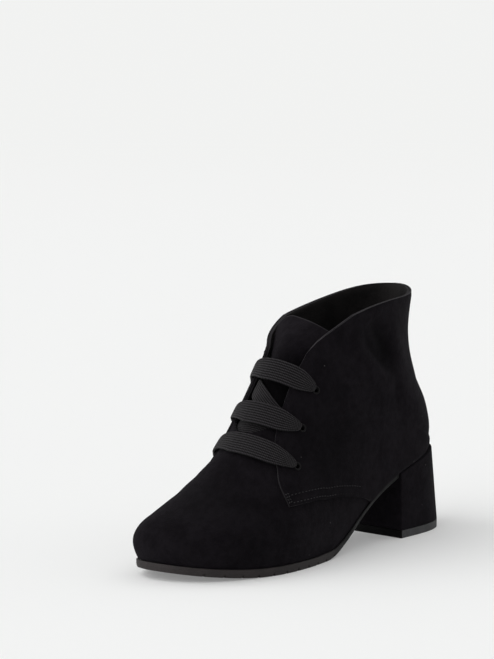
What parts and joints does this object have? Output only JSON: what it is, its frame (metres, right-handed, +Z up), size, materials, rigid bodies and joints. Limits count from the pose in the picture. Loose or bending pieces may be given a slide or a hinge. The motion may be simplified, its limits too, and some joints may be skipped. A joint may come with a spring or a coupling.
{
  "type": "ankle boot",
  "caption": "Left ankle boot in suede with derby lacing over a tongue, a thin grooved rubber sole and a covered block heel; stands empty on its sole.",
  "frame": {"origin": "centre of the boot's box in plan, on the floor that it stands on", "axes": "+X from heel to toe, +Y to the outer side of the left foot, +Z up"},
  "size_m": [0.24, 0.0824, 0.1543],
  "materials": {
    "suede": "brushed nap, no gloss",
    "lining": "plain woven",
    "rubber": "matt moulded",
    "lace": "ribbed flat braid",
    "eyelet_metal": "dark satin"
  },
  "bodies": {
    "root": {"upper": "suede", "quarter_lateral": "suede", "quarter_medial": "suede", "tongue": "suede", "insole": "lining", "outsole": "rubber", "heel_block": "suede", "heel_top_piece": "rubber", "lace_bar_1": "lace", "lace_bar_2": "lace", "lace_bar_3": "lace", "lace_cross_1": "lace", "lace_cross_2": "lace", "eyelet_lateral_1": "eyelet_metal", "eyelet_lateral_2": "eyelet_metal", "eyelet_lateral_3": "eyelet_metal", "eyelet_medial_1": "eyelet_metal", "eyelet_medial_2": "eyelet_metal", "eyelet_medial_3": "eyelet_metal"}
  },
  "joints": []
}
